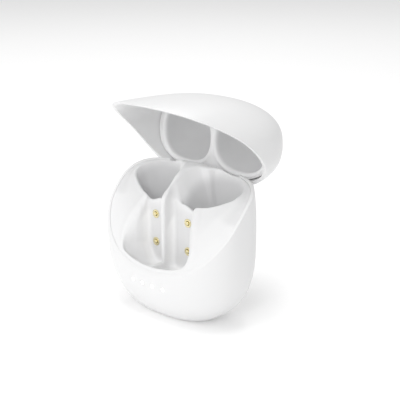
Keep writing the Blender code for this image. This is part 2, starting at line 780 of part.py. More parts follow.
def make_lid_liner(pivot):
    """Thin liner whose flat ceiling has a dome over each earbud, with the hinge barrel moulded on."""
    inset = WALL + FIT_GAP
    top = WIDEST_HEIGHT + RISE_ABOVE - inset
    rings = form_rings(np.full(FORM_STEPS, CEILING), np.full(FORM_STEPS, top), inset, [0, 0.25, 0.5, 0.72, 0.87, 0.95])
    rings.append(point_ring(0.14, top - 0.1 * MM))
    liner = add_object("lid_liner", about_pin(loft(rings, fan_last=True)), white_plastic(), pivot)
    hollow = block((-30 * MM, -20 * MM, CEILING + LINER_WALL), (30 * MM, 20 * MM, 70 * MM))
    hollow = add_object("liner_hollow", about_pin(hollow), parent=pivot)
    for side, sign in SIDES.items():
        cut(hollow, about_pin(dome(sign, LINER_WALL)), f"dome_body_{side}", pivot)
    boss = block((-2.0 * MM, 4.4 * MM, 40 * MM), (2.0 * MM, 9.1 * MM, 46.8 * MM))
    cut(hollow, about_pin(boss), "magnet_boss", pivot)
    apply_boolean(liner, hollow, "DIFFERENCE")
    arm_low = (-BARREL_HALF, 11.45 * MM, HINGE_Z)
    arm_high = (BARREL_HALF, 12.55 * MM, CEILING + 0.5 * MM)
    arm = add_object("liner_arm", about_pin(block(arm_low, arm_high)), parent=pivot)
    barrel = rod(BARREL_RADIUS, -BARREL_HALF, BARREL_HALF, (0, HINGE_Y, HINGE_Z), "x", 32)
    knuckle = add_object("liner_knuckle", about_pin(barrel), parent=pivot)
    apply_boolean(liner, arm, "UNION")
    apply_boolean(liner, knuckle, "UNION")
    for side, sign in SIDES.items():
        cut(liner, about_pin(dome(sign)), f"dome_{side}", pivot)
    bore = rod(PIN_RADIUS + RUNNING_GAP, -8 * MM, 8 * MM, (0, HINGE_Y, HINGE_Z), "x", 32)
    cut(liner, about_pin(bore), "liner_bore", pivot)
    seat = block((-1.1 * MM, 5.3 * MM, 43.3 * MM), (1.1 * MM, 8.2 * MM, 70 * MM))
    cut(liner, about_pin(seat), "lid_magnet_seat", pivot)
    return liner


def dome(sign, grow=0.0):
    """Rounded hollow that opens downward from just under the ceiling, or its outer skin when grown."""
    steps = 28
    rings = []
    turns = 2 * math.pi * np.arange(steps) / steps
    half_x, half_y, half_z = (half + grow for half in DOME_HALF)
    tilts = np.radians([0, 18, 36, 54, 70, 82])
    levels = [(1.0, -1 * MM)] + [(math.cos(tilt), half_z * math.sin(tilt)) for tilt in tilts]
    for share, rise in levels:
        x = sign * DOME_X + half_x * share * signed_power(np.cos(turns), 0.8)
        y = DOME_Y + half_y * share * signed_power(np.sin(turns), 0.8)
        rings.append(np.column_stack([x, y, np.full(steps, CEILING + rise)]))
    return loft(rings)


def make_lid_magnet(pivot):
    """Magnet in the liner's boss, across from the one in the spine."""
    magnet = block((-1.0 * MM, 5.4 * MM, 43.5 * MM), (1.0 * MM, 8.1 * MM, 46.5 * MM))
    add_object("lid_magnet", about_pin(magnet), magnet_nickel(), pivot)


def main():
    clear_scene()
    make_base_shell()
    make_cradle()
    make_contacts()
    make_lights()
    make_board()
    make_battery()
    make_usb_inlet()
    make_magnets()
    make_bracket()
    make_pin()
    pivot = make_lid_pivot()
    make_lid_shell(pivot)
    make_lid_liner(pivot)
    make_lid_magnet(pivot)


main()
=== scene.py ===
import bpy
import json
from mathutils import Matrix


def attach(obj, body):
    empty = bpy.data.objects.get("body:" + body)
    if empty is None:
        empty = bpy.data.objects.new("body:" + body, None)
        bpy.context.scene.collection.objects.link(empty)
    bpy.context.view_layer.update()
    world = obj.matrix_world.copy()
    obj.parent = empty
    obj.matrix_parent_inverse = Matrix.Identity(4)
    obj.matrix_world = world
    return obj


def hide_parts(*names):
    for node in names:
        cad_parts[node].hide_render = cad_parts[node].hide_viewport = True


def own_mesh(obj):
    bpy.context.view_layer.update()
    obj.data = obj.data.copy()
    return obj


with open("model.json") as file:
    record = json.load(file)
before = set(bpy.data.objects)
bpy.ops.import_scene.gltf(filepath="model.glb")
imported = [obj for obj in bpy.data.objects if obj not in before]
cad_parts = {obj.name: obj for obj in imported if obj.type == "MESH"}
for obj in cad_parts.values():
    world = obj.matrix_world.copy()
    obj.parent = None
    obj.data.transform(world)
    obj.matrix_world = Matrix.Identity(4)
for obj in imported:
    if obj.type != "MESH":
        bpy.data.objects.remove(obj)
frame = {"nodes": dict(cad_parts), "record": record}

"""Looks of an open charging case for a pair of earbuds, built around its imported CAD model.

The shells are lofted over the closed form. The cradle and the lid's liner are distance fields, negative
in the plastic, so that every edge and inside corner is rounded as in a moulding. Sizes are in millimetres
until a mesh is made. Lid pieces are modelled closed, and then turned open about the pin.
"""

import json
import math

import bmesh
import bpy
import numpy as np
from mathutils import Vector

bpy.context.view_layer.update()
MM = 0.001
# Step for measuring a field's slope.
PROBE = 0.02

# Closed outer form: a superellipse in plan whose size follows a superellipse in height.
HALF_WIDTH = 25.0
DEPTH_FRONT = 11.9
DEPTH_BACK = 14.6
PLAN_POWER_FRONT = 2.3
PLAN_POWER_BACK = 2.65
WIDEST_HEIGHT = 24.5
RISE_BELOW = 25.8
RISE_ABOVE = 32.0
SIDE_POWER_BELOW = 2.8
SIDE_POWER_ABOVE = 2.95
WIDENING_TO_BACK = 0.004
FORM_TOP = WIDEST_HEIGHT + RISE_ABOVE
WALL = 0.9
INNER_INSET = 1.1
CRADLE_INSET = 0.88
ROUND_STEPS = 360
OUTLINE_STEPS = 20001
HEIGHT_STEPS = 300
HALVINGS = 40

# Parting surface: height as a quadratic in y. The lid's rear edge is lifted to clear the base as it turns.
PART_HEIGHT = 32.1
PART_SLOPE = 1.16
PART_BEND = 0.041
LID_GAP = 0.25
HINGE_RELIEF = 0.8
HINGE_RELIEF_Y = (11.2, 12.4)

# Hinge, and the opening in the back wall that the lid's rear edge swings into.
HINGE_Y = 11.4
HINGE_Z = 38.1
OPEN_ANGLE = 91.5
PIN_RADIUS = 0.75
PIN_CLEARANCE = 0.05
BARREL_RADIUS = 2.2
BARREL_HALF = 3.4
BARREL_CLEARANCE = 0.3
NOTCH_HALF = 13.3
NOTCH_EASE = (-0.6, 0.4)
NOTCH_BOTTOM = 35.1
NOTCH_FRONT = 12.0
CHEEK_START = 5.2
CHEEK_END = NOTCH_HALF - 0.2
CHEEK_RADII = (2.1, 1.45)
CHEEK_BACKING_Y = (11.4, 12.0)
CHEEK_BACKING_BOTTOM = 35.2
ROOM_BOTTOM = 30

# Cradle.
CELL = 0.25
SKIN = 0.9
CREST_HEIGHT = 42.1
CREST_Y = 8.0
CREST_BEND = 0.05
CREST_SPREAD = 9.3
CREST_FADE_Y = (-8.5, -4.0)
MOUND_RISE = 0.8
DECK_EDGE_DROP = 0.1
DECK_PROBE = 0.05
DECK_STEEPEST = 4
LAND_BACK = 10.7
POCKET_FLOOR = 12.6
POCKET_INSET = 1.7
POCKET_NARROWING = 2.4
POCKET_NARROW_TO = 19.5
CONTACT_WALL_Y = -1.0
DIVIDER_HALF = 0.8
DIVIDER_FRONT = -4.9
JOINED_START = DIVIDER_HALF + 1.5
RIDGE_HEIGHT = 15.6
CHANNEL_WALL = 1.3
CHANNEL_LEAN = 1.15
CHANNEL_BACK = 0.04
WELL_BOTTOM = 25.5
WELL_ANCHOR = (10.8, 7.0)
WELL_TAPER = 0.8
WELL_TAPER_POWER = 1.1
WELL_DEEPEST = 1.3
WELL_SKIN = 0.7
WELL_AXIS_BLEND = (1.5, 3.5)
WELL_AXIS_SCALE = 0.7
SPINE_HALF = 1.1
SPINE_BOX = ((-SPINE_HALF, -3, 24), (SPINE_HALF, 9.7, 60))
CRADLE_MAGNET_SEAT = ((-SPINE_HALF - 0.1, 5.2, 30), (SPINE_HALF + 0.1, 8.3, 40.75))
CRADLE_REACH = (24.6, (-11.4, 14.2), (10.9, 43.2))

# Radii of the cradle's rounded edges and filled corners.
WELL_FLOOR_ROUND = 2.0
WELL_TO_DECK = 0.6
RIBS_TO_DECK = 0.5
DECK_ROUND = 0.3
RIM_ROUND = 0.15
HINGE_ROUND = 0.5
CHEEK_ROUND = 0.4
CHEEK_TO_BODY = 0.3
POCKET_SIDE_ROUND = 2.0
POCKET_FLOOR_ROUND = 2.6
POCKET_FRONT_ROUND = 1.2
POCKETS_TOGETHER = 1.0
POCKET_TO_WELL = 1.4
SPACE_FRONT_ROUND = 0.2
SPACE_EDGE_ROUND = 0.6
POCKET_EDGE_SOFTER = 1.6
# Where the pockets' edges are softer: from and to these distances, and above this depth below the deck.
SOFTER_FROM_X = (4.0, 8.5)
SOFTER_FROM_Y = (-9.0, -6.6)
SOFTER_TO_Y = (-3.2, -1.2)
SOFTER_DEPTH = (-6.0, -2.5)

# Lid liner.
CEILING = 42.3
LINER_WALL = 0.9
DOME_X = 10.4
DOME_Y = 1.6
DOME_HALF = (9.2, 7.9, 11.0)
DOME_POWER = 2.5
NEAR_PLATE = (0.9, 2.4)
THIN_OFFSET = 0.12
BOSS_BOX = ((-2.0, 4.4, CEILING), (2.0, 9.1, 46.8))
ARM_BOX = ((-BARREL_HALF, 11.45, HINGE_Z), (BARREL_HALF, 12.55, CEILING + 0.5))
LINER_MAGNET_SEAT = ((-1.1, 5.3, 43.3), (1.1, 8.2, 70))
LINER_REACH = (23.6, (-10.6, 14.2), (35.4, 56.0))

# Radii of the liner's rounded edges and filled corners.
PLATE_TO_DOME = 1.0
BOSS_TO_PLATE = 0.6
BARREL_ROUND = 0.4
BARREL_TO_ARM = 0.6
ARM_TO_BODY = 0.5
THIN_ROUND = 0.1
PLATE_EDGE_SOFTER = 0.4
DOME_EDGE_SOFTER = 1.1

# Lights and contacts.
LIGHT_PITCH = 4.0
LIGHT_HEIGHT = 10.4
LIGHT_COUNT = 4
WINDOW_RADIUS = 0.6
WINDOW_CLEARANCE = 0.07
WINDOW_BACK = -9.65
WINDOW_STEPS = 40
# Hole for a light guide: its range along y, and its chamfer as (extra radius, start, end), where start and
# end are from the casing's front.
LIGHT_CUT_Y = (-14, -8)
WINDOW_CHAMFER = (0.5, -0.42, 0.08)
CONTACT_X = 6.4
CONTACT_HEIGHTS = {"upper": 27.6, "lower": 19.25}
CONTACT_HOLE_RADIUS = 0.95
CONTACT_HOLE_REACH = 3
USB_HEIGHT = 5.15

# Camera, as angles, a distance and the offset of the point it looks at from the middle of the foot.
CAMERA_AZIMUTH = 43.77
CAMERA_ELEVATION = 16.96
CAMERA_DISTANCE = 284.0
AIM_RIGHT = 7.28
AIM_UP = 32.34
AIM_DROP = -1.0
LENS = 87.55
SENSOR_WIDTH = 36


# Shapes as numbers.


def smooth_step(low, high, value):
    share = np.clip((value - low) / (high - low), 0, 1)
    return share * share * (3 - 2 * share)


def smooth_min(a, b, radius):
    """Union of two distances, with the inside corner filled."""
    overlap = np.maximum(radius - np.abs(a - b), 0) / radius
    return np.minimum(a, b) - overlap**2 * radius / 4


def smooth_max(a, b, radius):
    """Intersection of two distances, with the edge rounded."""
    return -smooth_min(-a, -b, radius)


def as_distance(field, x, y, z):
    """The field divided by its slope, which is close to a distance near its surface."""
    value = field(x, y, z)
    slope = (field(x + PROBE, y, z) - value) ** 2
    slope = slope + (field(x, y + PROBE, z) - value) ** 2
    slope = slope + (field(x, y, z + PROBE) - value) ** 2
    return value * PROBE / np.sqrt(slope + 1e-12)


def signed_power(value, power):
    return np.sign(value) * np.abs(value) ** power


def part_height(y):
    return PART_HEIGHT + PART_SLOPE * y - PART_BEND * y**2


def form_scale(height, inset):
    """Size of the plan section at a height, as a share of the widest one."""
    below = height < WIDEST_HEIGHT
    rise = np.where(below, RISE_BELOW, RISE_ABOVE) - inset
    power = np.where(below, SIDE_POWER_BELOW, SIDE_POWER_ABOVE)
    share = np.clip(np.abs(height - WIDEST_HEIGHT) / rise, 0, 1)
    return (1 - share**power) ** (1 / power)


def form_point(angle, height, inset=0.0):
    """Points of the closed form, moved inward by inset, at plan angles and heights."""
    back = np.sin(angle) > 0
    power = np.where(back, PLAN_POWER_BACK, PLAN_POWER_FRONT)
    depth = np.where(back, DEPTH_BACK, DEPTH_FRONT) - inset
    scale = form_scale(height, inset)
    x = (HALF_WIDTH - inset) * scale * signed_power(np.cos(angle), 2 / power)
    y = depth * scale * signed_power(np.sin(angle), 2 / power)
    x = x * (1 + WIDENING_TO_BACK * y)
    return np.stack([x, y, np.broadcast_to(height, x.shape)], axis=-1)


def form_ratio(inset):
    """Field that is 0 on the closed form moved inward by inset."""

    def field(x, y, z):
        back = y > 0
        power = np.where(back, PLAN_POWER_BACK, PLAN_POWER_FRONT)
        depth = np.where(back, DEPTH_BACK, DEPTH_FRONT) - inset
        width = (HALF_WIDTH - inset) * (1 + WIDENING_TO_BACK * y)
        plan = ((np.abs(x) / width) ** power + (np.abs(y) / depth) ** power) ** (1 / power)
        below = z < WIDEST_HEIGHT
        side = np.where(below, SIDE_POWER_BELOW, SIDE_POWER_ABOVE)
        rise = np.where(below, RISE_BELOW, RISE_ABOVE) - inset
        return (plan**side + (np.abs(z - WIDEST_HEIGHT) / rise) ** side) ** (1 / side) - 1

    return field


def form_front(x, height):
    """The y of the form's front at x."""
    width = HALF_WIDTH * form_scale(height, 0.0)
    depth = DEPTH_FRONT * form_scale(height, 0.0)
    return -depth * (1 - np.abs(x / width) ** PLAN_POWER_FRONT) ** (1 / PLAN_POWER_FRONT)


def even_angles(count):
    """Plan angles that are evenly spaced along the form's outline, from the middle of the front."""
    dense = np.linspace(-math.pi / 2, 1.5 * math.pi, OUTLINE_STEPS)
    outline = form_point(dense, np.full(len(dense), WIDEST_HEIGHT))
    length = np.concatenate([[0], np.cumsum(np.linalg.norm(np.diff(outline, axis=0), axis=1))])
    return np.interp(np.linspace(0, length[-1], count, endpoint=False), length, dense)


ANGLES = even_angles(ROUND_STEPS)


def level(height):
    """The same height at every plan angle."""
    return np.full(ROUND_STEPS, height)


def ring_on(surface, inset):
    """Where the form, moved inward by inset, meets a surface given as a height of (x, y)."""
    low = level(0.0)
    high = level(FORM_TOP - inset)
    for _ in range(HALVINGS):
        middle = (low + high) / 2
        point = form_point(ANGLES, middle, inset)
        under = middle < surface(point[:, 0], point[:, 1])
        low = np.where(under, middle, low)
        high = np.where(under, high, middle)
    return form_point(ANGLES, low, inset)


def even_rings(start, end, inset, count):
    """Rings on the form between two heights at each angle, evenly spaced along the surface."""
    shares = (1 - np.cos(np.pi * np.linspace(0, 1, HEIGHT_STEPS))) / 2
    heights = start + (end - start) * shares[:, None]
    points = form_point(ANGLES, heights, inset)
    lengths = np.cumsum(np.linalg.norm(np.diff(points, axis=0), axis=2), axis=0)
    lengths = np.concatenate([np.zeros((1, ROUND_STEPS)), lengths])
    wanted = np.linspace(0, 1, count)
    chosen = [
        np.interp(wanted * length[-1], length, height) for length, height in zip(lengths.T, heights.T)
    ]
    return list(form_point(ANGLES, np.array(chosen).T, inset))


def opened(points):
    """Closed lid coordinates turned open about the pin."""
    angle = math.radians(OPEN_ANGLE)
    y, z = points[:, 1] - HINGE_Y, points[:, 2] - HINGE_Z
    turned_y = y * math.cos(angle) + z * math.sin(angle)
    turned_z = z * math.cos(angle) - y * math.sin(angle)
    return np.column_stack([points[:, 0], turned_y + HINGE_Y, turned_z + HINGE_Z])


# Meshes.

# Angles in degrees from which an edge is drawn sharp.
SHELL_SHARP = 50
MOULD_SHARP = 60
SMALL_SHARP = 40
# Settling of a surface net: rounds, least squared slope and longest move in cells.
SETTLING_ROUNDS = 3
LEAST_SLOPE = 0.05
LONGEST_MOVE = 0.4


def mesh_object(name, points, faces):
    """Closed mesh from millimetre points, with its normals outward."""
    mesh = bpy.data.meshes.new(name)
    mesh.from_pydata((np.asarray(points) * MM).tolist(), [], [tuple(map(int, face)) for face in faces])
    mesh.update()
    shape = bmesh.new()
    shape.from_mesh(mesh)
    bmesh.ops.recalc_face_normals(shape, faces=shape.faces)
    if shape.calc_volume(signed=True) < 0:
        bmesh.ops.reverse_faces(shape, faces=shape.faces)
    shape.to_mesh(mesh)
    shape.free()
    made = bpy.data.objects.new(name, mesh)
    bpy.context.scene.collection.objects.link(made)
    return made


def add_piece(name, points, faces, body, node, slot, sharp=SMALL_SHARP):
    """A piece of the object, which rides on a body and stands for a CAD node."""
    piece = mesh_object(name, points, faces)
    piece.data.materials.append(look(slot))
    piece.data.shade_smooth()
    piece.data.set_sharp_from_angle(angle=math.radians(sharp))
    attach(piece, body)
    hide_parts(node)
    return piece


def loft(rings, close_first=False, close_last=False):
    """Points and faces through rings of equally many points. A closed end is a fan to its centre."""
    count = len(rings[0])
    points = [np.asarray(ring, float) for ring in rings]
    faces = []
    for start in range(0, count * (len(rings) - 1), count):
        for k in range(count):
            after = (k + 1) % count
            faces.append((start + k, start + after, start + count + after, start + count + k))
    total = count * len(rings)
    for close, start in ((close_first, 0), (close_last, total - count)):
        if close:
            points.append(points[start // count].mean(axis=0)[None])
            faces.extend((start + k, start + (k + 1) % count, total) for k in range(count))
            total += 1
    return np.concatenate(points), faces


def turned(profile, centre, steps=64):
    """Solid turned about a line along y through centre, from (radius, y) points. It closes at both ends."""
    turns = 2 * math.pi * np.arange(steps) / steps
    rings = []
    for radius, along in profile[1:-1]:
        ring = np.column_stack([radius * np.sin(turns), np.full(steps, along), radius * np.cos(turns)])
        rings.append(ring + np.array(centre))
    points, faces = loft(rings)
    ends = np.array([(0, along, 0) for _, along in (profile[0], profile[-1])]) + np.array(centre)
    points = np.concatenate([points, ends])
    last = len(points) - 1
    start = (len(rings) - 1) * steps
    faces.extend((k, (k + 1) % steps, last - 1) for k in range(steps))
    faces.extend((start + k, start + (k + 1) % steps, last) for k in range(steps))
    return points, faces


def surface_of(field, half_x, range_y, range_z):
    """Mesh of the zero surface of a field that is mirror-symmetric in x, by surface nets. Each point is
    then moved onto the surface."""
    x = np.arange(CELL / 2, half_x, CELL)
    y = np.arange(*range_y, CELL)
    z = np.arange(*range_z, CELL)
    half = field(x[:, None, None], y[None, :, None], z[None, None, :])
    values = np.concatenate([half[::-1], half])
    origin = np.array([-x[-1], y[0], z[0]])
    points, faces = surface_net(values)
    points = origin + points * CELL
    for _ in range(SETTLING_ROUNDS):
        value = field(*points.T)
        slope = np.empty_like(points)
        for axis in range(3):
            moved = points.copy()
            moved[:, axis] += PROBE
            slope[:, axis] = (field(*moved.T) - value) / PROBE
        size = np.sum(slope**2, axis=1) + LEAST_SLOPE
        shift = slope * (value / size)[:, None]
        length = np.linalg.norm(shift, axis=1, keepdims=True)
        points = points - shift * np.minimum(1, LONGEST_MOVE * CELL / (length + 1e-9))
    return points, faces


def surface_net(values):
    """One point in each cell that the surface crosses, and one face for each crossed grid edge."""
    cells = np.array(values.shape) - 1
    total = np.zeros((*cells, 3))
    count = np.zeros(cells)
    faces = []
    crossings = []
    for axis in range(3):
        first, second = [other for other in range(3) if other != axis]
        near = np.take(values, range(values.shape[axis] - 1), axis)
        far = np.take(values, range(1, values.shape[axis]), axis)
        crossed = (near < 0) != (far < 0)
        share = np.where(crossed, near / np.where(crossed, near - far, 1), 0)
        crossings.append(crossed)
        for a in (0, 1):
            for b in (0, 1):
                window = [slice(None)] * 3
                window[first] = slice(a, a + cells[first])
                window[second] = slice(b, b + cells[second])
                hit = crossed[tuple(window)]
                count += hit
                total[..., axis] += np.where(hit, share[tuple(window)], 0)
                total[..., first] += np.where(hit, a, 0)
                total[..., second] += np.where(hit, b, 0)
    used = count > 0
    number = np.full(cells, -1)
    number[used] = np.arange(used.sum())
    points = np.argwhere(used) + total[used] / count[used][:, None]
    for axis in range(3):
        first, second = [other for other in range(3) if other != axis]
        places = np.argwhere(crossings[axis])
        ok = (places[:, first] > 0) & (places[:, second] > 0)
        ok &= (places[:, first] < cells[first]) & (places[:, second] < cells[second])
        places = places[ok]
        corners = []
        for a, b in ((1, 1), (0, 1), (0, 0), (1, 0)):
            at = places.copy()
            at[:, first] -= a
            at[:, second] -= b
            corners.append(number[tuple(at.T)])
        faces.append(np.column_stack(corners))
    return points, np.concatenate(faces)


# Shells.

# Rounded rims, as (distance from the surface that the shell ends on, inset).
RIM_OUTER = [(0.34, 0.0), (0.2, 0.01), (0.1, 0.05), (0.03, 0.13), (0.0, 0.24)]
RIM_INNER = [(0.0, 0.68), (0.03, 0.78), (0.09, 0.85), (0.18, 0.89), (0.3, 0.9)]
# Rounded edge of the foot, as (height, inset), and where the plain outside starts.
FOOT_EDGE = [(0.0, 0.45), (0.05, 0.18)]
FOOT_TOP = 0.2
BASE_FLOOR = 1.0
FLAT_SHARES = (0.25, 0.5, 0.75)
OUTER_RINGS = {"base": 56, "lid": 52}
INNER_RINGS = 36
TOP_GAP = 0.0005


def rim_rings(surface, side):
    """Rings that round the rim of a shell which ends on a surface. Side is 1 for a shell below the surface
    and -1 for one above it."""
    rings = []
    for depth, inset in RIM_OUTER + RIM_INNER:
        rings.append(ring_on(lambda x, y: surface(x, y) - side * depth, inset))
    return rings


def base_rim(x, y):
    """The parting surface, with the opening in the back wall."""
    inside = 1 - smooth_step(NOTCH_HALF + NOTCH_EASE[0], NOTCH_HALF + NOTCH_EASE[1], np.abs(x))
    return part_height(y) + (NOTCH_BOTTOM - part_height(y)) * inside * (y > 0)


def lid_rim(_, y):
    return part_height(y) + LID_GAP + HINGE_RELIEF * smooth_step(*HINGE_RELIEF_Y, y)


def scaled(ring, share):
    middle = ring.mean(axis=0)
    return middle + (ring - middle) * share


def make_base_shell():
    rim = rim_rings(base_rim, 1)
    foot = [form_point(ANGLES, level(height), inset) for height, inset in FOOT_EDGE]
    outer = even_rings(level(FOOT_TOP), rim[0][:, 2], 0.0, OUTER_RINGS["base"])
    inner = even_rings(level(BASE_FLOOR), rim[-1][:, 2], WALL, INNER_RINGS)
    bottom = [scaled(foot[0], share) for share in FLAT_SHARES]
    floor = [scaled(inner[0], share) for share in FLAT_SHARES[::-1]]
    rings = bottom + foot + outer + rim[1:-1] + inner[::-1] + floor
    shape = loft(rings, close_first=True, close_last=True)
    shell = add_piece("base_casing", *shape, "base", "base_shell", "shell_white", SHELL_SHARP)
    for cutter in [light_cutter(x) for x in light_places()] + [usb_cutter()]:
        cut_away(shell, cutter)


def cut_away(piece, shape):
    """Boolean difference with a closed shape, applied at once."""
    cutter = mesh_object("cutter", *shape)
    modifier = piece.modifiers.new("cut", "BOOLEAN")
    modifier.operation = "DIFFERENCE"
    modifier.solver = "EXACT"
    modifier.object = cutter
    graph = bpy.context.evaluated_depsgraph_get()
    result = bpy.data.meshes.new_from_object(piece.evaluated_get(graph))
    piece.modifiers.clear()
    old = piece.data
    piece.data = result
    bpy.data.meshes.remove(old)
    bpy.data.objects.remove(cutter)
    piece.data.set_sharp_from_angle(angle=math.radians(SHELL_SHARP))


def light_places():
    return [(k - (LIGHT_COUNT - 1) / 2) * LIGHT_PITCH for k in range(LIGHT_COUNT)]


def light_cutter(x):
    """Hole for a light guide, with a small chamfer at the outer face."""
    front = float(form_front(x, LIGHT_HEIGHT))
    radius = WINDOW_RADIUS + WINDOW_CLEARANCE
    start, end = LIGHT_CUT_Y
    wider, chamfer_start, chamfer_end = WINDOW_CHAMFER
    profile = [(0, start), (radius + wider, front + chamfer_start), (radius, front + chamfer_end)]
    return turned(profile + [(radius, end), (0, end)], (x, 0, LIGHT_HEIGHT), WINDOW_STEPS)


# Opening for the charging plug, which flares at the outer face: half width, half height, corner radius, y.
USB_SECTIONS = [(4.8, 1.85, 1.8, 8.0), (4.8, 1.85, 1.8, 11.1), (6.8, 3.85, 3.8, 14.5)]
USB_CORNER_STEPS = 8


def usb_ring(half_x, half_z, radius, y):
    ring = []
    for quarter, (sign_x, sign_z) in enumerate(((1, 1), (-1, 1), (-1, -1), (1, -1))):
        for k in range(USB_CORNER_STEPS + 1):
            turn = math.pi / 2 * (quarter + k / USB_CORNER_STEPS)
            x = sign_x * (half_x - radius) + radius * math.cos(turn)
            z = sign_z * (half_z - radius) + radius * math.sin(turn)
            ring.append((x, y, USB_HEIGHT + z))
    return np.array(ring)


def usb_cutter():
    return loft([usb_ring(*section) for section in USB_SECTIONS], close_first=True, close_last=True)


def make_lid_shell():
    rim = rim_rings(lid_rim, -1)
    outer = even_rings(rim[0][:, 2], level(FORM_TOP - TOP_GAP), 0.0, OUTER_RINGS["lid"])
    inner = even_rings(rim[-1][:, 2], level(FORM_TOP - WALL - TOP_GAP), WALL, INNER_RINGS)
    points, faces = loft(outer[::-1] + rim[1:-1] + inner, close_first=True, close_last=True)
    add_piece("lid_casing", opened(points), faces, "lid", "lid_shell", "shell_white", SHELL_SHARP)


# Cradle.


# How far out the mound reaches, as a share of the way to the deck's edge. It is less beside the pockets,
# around an angle in front of the x axis, in degrees. The fall to the edge starts just inside that share,
# and takes about half of the way that is left.
MOUND_SHARE = 0.9
MOUND_SHARE_LESS = 0.16
MOUND_LESS_TURN = 21
MOUND_LESS_SPREAD = 24
FALL_BEFORE = 0.05
FALL_SHARE = 0.5
FALL_AFTER = 0.01


def mound_share(angle):
    turn = np.degrees(np.arctan2(np.sin(angle), np.abs(np.cos(angle))))
    return MOUND_SHARE - MOUND_SHARE_LESS * np.exp(-(((turn + MOUND_LESS_TURN) / MOUND_LESS_SPREAD) ** 4))


DECK_EDGE = ring_on(lambda _, y: part_height(y) - DECK_EDGE_DROP, CRADLE_INSET)
EDGE_TURN = np.arctan2(DECK_EDGE[:, 1], DECK_EDGE[:, 0])
EDGE_ORDER = np.argsort(EDGE_TURN)


def around(values, turn):
    """Value at a polar angle, between values given at the deck's edge points."""
    return np.interp(turn, EDGE_TURN[EDGE_ORDER], values[EDGE_ORDER], period=2 * math.pi)


def crest_height(y):
    """Top of the raised spine between the wells."""
    return CREST_HEIGHT - CREST_BEND * (CREST_Y - y) ** 2


def mound_height(x, y):
    part = part_height(y)
    spread = np.exp(-((x / CREST_SPREAD) ** 2)) * smooth_step(*CREST_FADE_Y, y)
    return part + MOUND_RISE + (crest_height(y) - part - MOUND_RISE) * spread


def deck_height(x, y):
    turn = np.arctan2(y, x)
    out = np.hypot(x, y) / around(np.hypot(DECK_EDGE[:, 0], DECK_EDGE[:, 1]), turn)
    share = around(mound_share(ANGLES), turn)
    end = share + FALL_SHARE * (1 - share) + FALL_AFTER
    fall = smooth_step(share - FALL_BEFORE, end, out)
    return mound_height(x, y) * (1 - fall) + (part_height(y) - DECK_EDGE_DROP) * fall


def smooth_loop(corners, steps):
    """Closed Catmull-Rom curve through corners."""
    points = []
    count = len(corners)
    for k in range(count):
        before, start, end, after = (corners[(k + shift) % count] for shift in (-1, 0, 1, 2))
        for step in range(steps):
            t = step / steps
            bend = 2 * before - 5 * start + 4 * end - after
            twist = 3 * start - 3 * end + after - before
            points.append(0.5 * (2 * start + (end - before) * t + bend * t**2 + twist * t**3))
    return np.array(points)


# Rim of the right well in plan.
WELL_CORNERS = [
    (0.7, -2.2),
    (0.7, 1.6),
    (1.3, 4.4),
    (3.0, 7.1),
    (5.3, 8.3),
    (6.8, 9.9),
    (10.2, 11.0),
    (14.8, 11.1),
    (18.6, 9.1),
    (20.5, 6.2),
    (19.6, 3.5),
    (16.8, 1.7),
    (12.3, -0.4),
    (8.0, -1.9),
    (4.0, -2.3),
]
WELL_STEPS = 16
WELL_OUTLINE = smooth_loop(np.array(WELL_CORNERS), WELL_STEPS)
WELL_AWAY = WELL_OUTLINE - np.array(WELL_ANCHOR)
WELL_TURN = np.arctan2(WELL_AWAY[:, 1], WELL_AWAY[:, 0])
WELL_ORDER = np.argsort(WELL_TURN)
WELL_REACH = np.linalg.norm(WELL_AWAY, axis=1)
WELL_RIM = mound_height(WELL_OUTLINE[:, 0], WELL_OUTLINE[:, 1])


def around_well(values, turn):
    return np.interp(turn, WELL_TURN[WELL_ORDER], values[WELL_ORDER], period=2 * math.pi)


def well_side(x, y, z):
    """Field of the right well's side wall: straight above the rim, a bowl below it."""
    away_x, away_y = x - WELL_ANCHOR[0], y - WELL_ANCHOR[1]
    turn = np.arctan2(away_y, away_x)
    rim = around_well(WELL_RIM, turn)
    depth = np.clip((rim - z) / (rim - WELL_BOTTOM), 0, WELL_DEEPEST)
    reach = around_well(WELL_REACH, turn) * (1 - WELL_TAPER * depth**WELL_TAPER_POWER)
    return np.hypot(away_x, away_y) - reach


def well_distance(x, y, z):
    """Distance to the well's space. Near the anchor's axis the slope means nothing, so the plain field
    stands in there."""
    share = smooth_step(*WELL_AXIS_BLEND, np.hypot(x - WELL_ANCHOR[0], y - WELL_ANCHOR[1]))
    plain = WELL_AXIS_SCALE * well_side(x, y, z)
    return as_distance(well_side, x, y, z) * share + plain * (1 - share)


# Half widths of a stem pocket, and of the outside of the channel around it, at places along y.
POCKET_SIDE_Y = [-9.5, -8.0, -6.9, -5.1, -3.6, -1.0]
POCKET_SIDE_X = [12.5, 12.6, 12.7, 10.6, 9.7, 9.4]
CHANNEL_SIDE_Y = [-6.4, -3.0, CHANNEL_BACK]
CHANNEL_SIDE_X = [14.8, 12.6, 11.2]
POCKET_SHIFTS = (-1.5, -0.9, -0.3, 0.3, 0.9, 1.5)
POCKET_PROBE = 0.3


def pocket_side(y):
    """Half width of a stem pocket, evened out over about 3 mm."""
    widths = (np.interp(y + shift, POCKET_SIDE_Y, POCKET_SIDE_X) for shift in POCKET_SHIFTS)
    return sum(widths) / len(POCKET_SHIFTS)


def pocket_front(x, y, z):
    """Distance to the front wall of the pockets, which follows the casing."""
    return as_distance(form_ratio(POCKET_INSET), x, y, np.minimum(z, WIDEST_HEIGHT))


